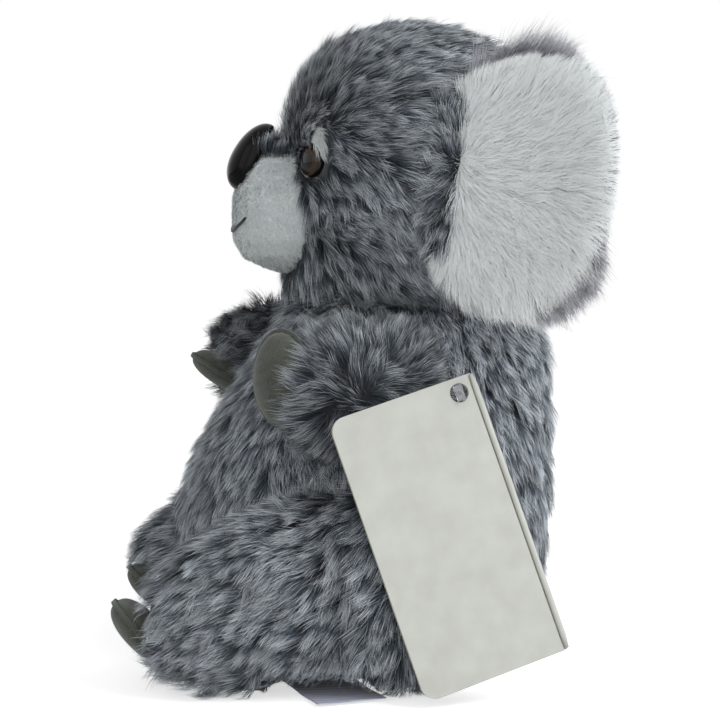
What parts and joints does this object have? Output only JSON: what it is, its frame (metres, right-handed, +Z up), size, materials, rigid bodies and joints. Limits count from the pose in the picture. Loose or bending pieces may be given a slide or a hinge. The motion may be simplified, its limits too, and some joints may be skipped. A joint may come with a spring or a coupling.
{
  "type": "plush koala",
  "caption": "Seated long-pile plush koala with cupped white-lined ears, short-pile muzzle, moulded nose, felt paws and feet, and a folded hang tag.",
  "frame": {"origin": "on the floor, on the flat underside of the seat panel, midway between the hips", "axes": "+Z up, -Y the way the koala faces, +X its own left side"},
  "size_m": [0.1503, 0.1273, 0.1813],
  "materials": {
    "grey_plush": "long frosted pile, dark at the root and pale grey at the tips",
    "white_plush": "off-white pile, long in the ears and short on the muzzle and round the eyes",
    "felt": "grey-green felt with a raw sewn edge",
    "seat_cloth": "short dark cloth",
    "bag_cloth": "plain cloth bag of pellets, hidden inside",
    "black_plastic": "moulded, glossy",
    "amber_plastic": "moulded dome, brown iris and black pupil under clear plastic",
    "washer_plastic": "moulded, hidden inside",
    "dark_thread": "stitched thread",
    "card": "bare pale card, folded once and punched",
    "clear_nylon": "clear nylon",
    "satin": "bare satin ribbon with a soft sheen"
  },
  "bodies": {
    "torso": {"body": "grey_plush", "seat_panel": "seat_cloth", "pellet_bag": "bag_cloth", "tag_pin": "clear_nylon"},
    "head": {"head": "grey_plush", "muzzle": "white_plush", "mouth_stitch": "dark_thread", "nose": "black_plastic", "nose_washer": "washer_plastic", "eye_left": "amber_plastic", "eye_right": "amber_plastic", "eye_washer_left": "washer_plastic", "eye_washer_right": "washer_plastic", "eye_patch_left": "white_plush", "eye_patch_right": "white_plush"},
    "ear_left": {"ear_back_left": "grey_plush", "ear_lining_left": "white_plush"},
    "ear_right": {"ear_back_right": "grey_plush", "ear_lining_right": "white_plush"},
    "arm_left": {"arm_left": "grey_plush", "paw_left": "felt"},
    "arm_right": {"arm_right": "grey_plush", "paw_right": "felt"},
    "leg_left": {"leg_left": "grey_plush", "foot_left": "felt", "sewn_label": "satin"},
    "leg_right": {"leg_right": "grey_plush", "foot_right": "felt"},
    "tag": {"tag_back_leaf": "card"},
    "tag_front": {"tag_front_leaf": "card"}
  },
  "joints": [
    {"name": "neck_turn", "type": "hinge", "parent": "torso", "child": "head", "pos_m": [0, 0.013, 0.1028], "axis": [0, 0, 1], "range_deg": [-20, 20], "stiffness_Nm_per_rad": 0.05},
    {"name": "ear_left_fold", "type": "hinge", "parent": "head", "child": "ear_left", "pos_m": [0.04, 0.015, 0.1373], "axis": [-0.1045, 0.1384, 0.9848], "range_deg": [-18, 12], "stiffness_Nm_per_rad": 0.004},
    {"name": "ear_right_fold", "type": "hinge", "parent": "head", "child": "ear_right", "pos_m": [-0.04, 0.015, 0.1373], "axis": [-0.1045, -0.1384, -0.9848], "range_deg": [-18, 12], "stiffness_Nm_per_rad": 0.004},
    {"name": "arm_left_spread", "type": "hinge", "parent": "torso", "child": "arm_left", "pos_m": [0.04, -0.003, 0.0645], "axis": [0, 0, 1], "range_deg": [0, 18], "stiffness_Nm_per_rad": 0.01},
    {"name": "arm_right_spread", "type": "hinge", "parent": "torso", "child": "arm_right", "pos_m": [-0.04, -0.003, 0.0645], "axis": [0, 0, -1], "range_deg": [0, 18], "stiffness_Nm_per_rad": 0.01},
    {"name": "leg_left_spread", "type": "hinge", "parent": "torso", "child": "leg_left", "pos_m": [0.045, -0.004, 0], "axis": [0, 0, 1], "range_deg": [0, 15], "stiffness_Nm_per_rad": 0.03},
    {"name": "leg_right_spread", "type": "hinge", "parent": "torso", "child": "leg_right", "pos_m": [-0.045, -0.004, 0], "axis": [0, 0, -1], "range_deg": [0, 15], "stiffness_Nm_per_rad": 0.03},
    {"name": "tag_swing", "type": "hinge", "parent": "torso", "child": "tag", "pos_m": [0.063, 0.0132, 0.08], "axis": [0.9877, 0, 0.1564], "range_deg": [-30, 30]},
    {"name": "tag_open", "type": "hinge", "parent": "tag", "child": "tag_front", "pos_m": [0.06277, 0.01776, 0.08146], "axis": [-0.1488, -0.309, 0.9393], "range_deg": [0, 100], "stiffness_Nm_per_rad": 0.0003}
  ]
}
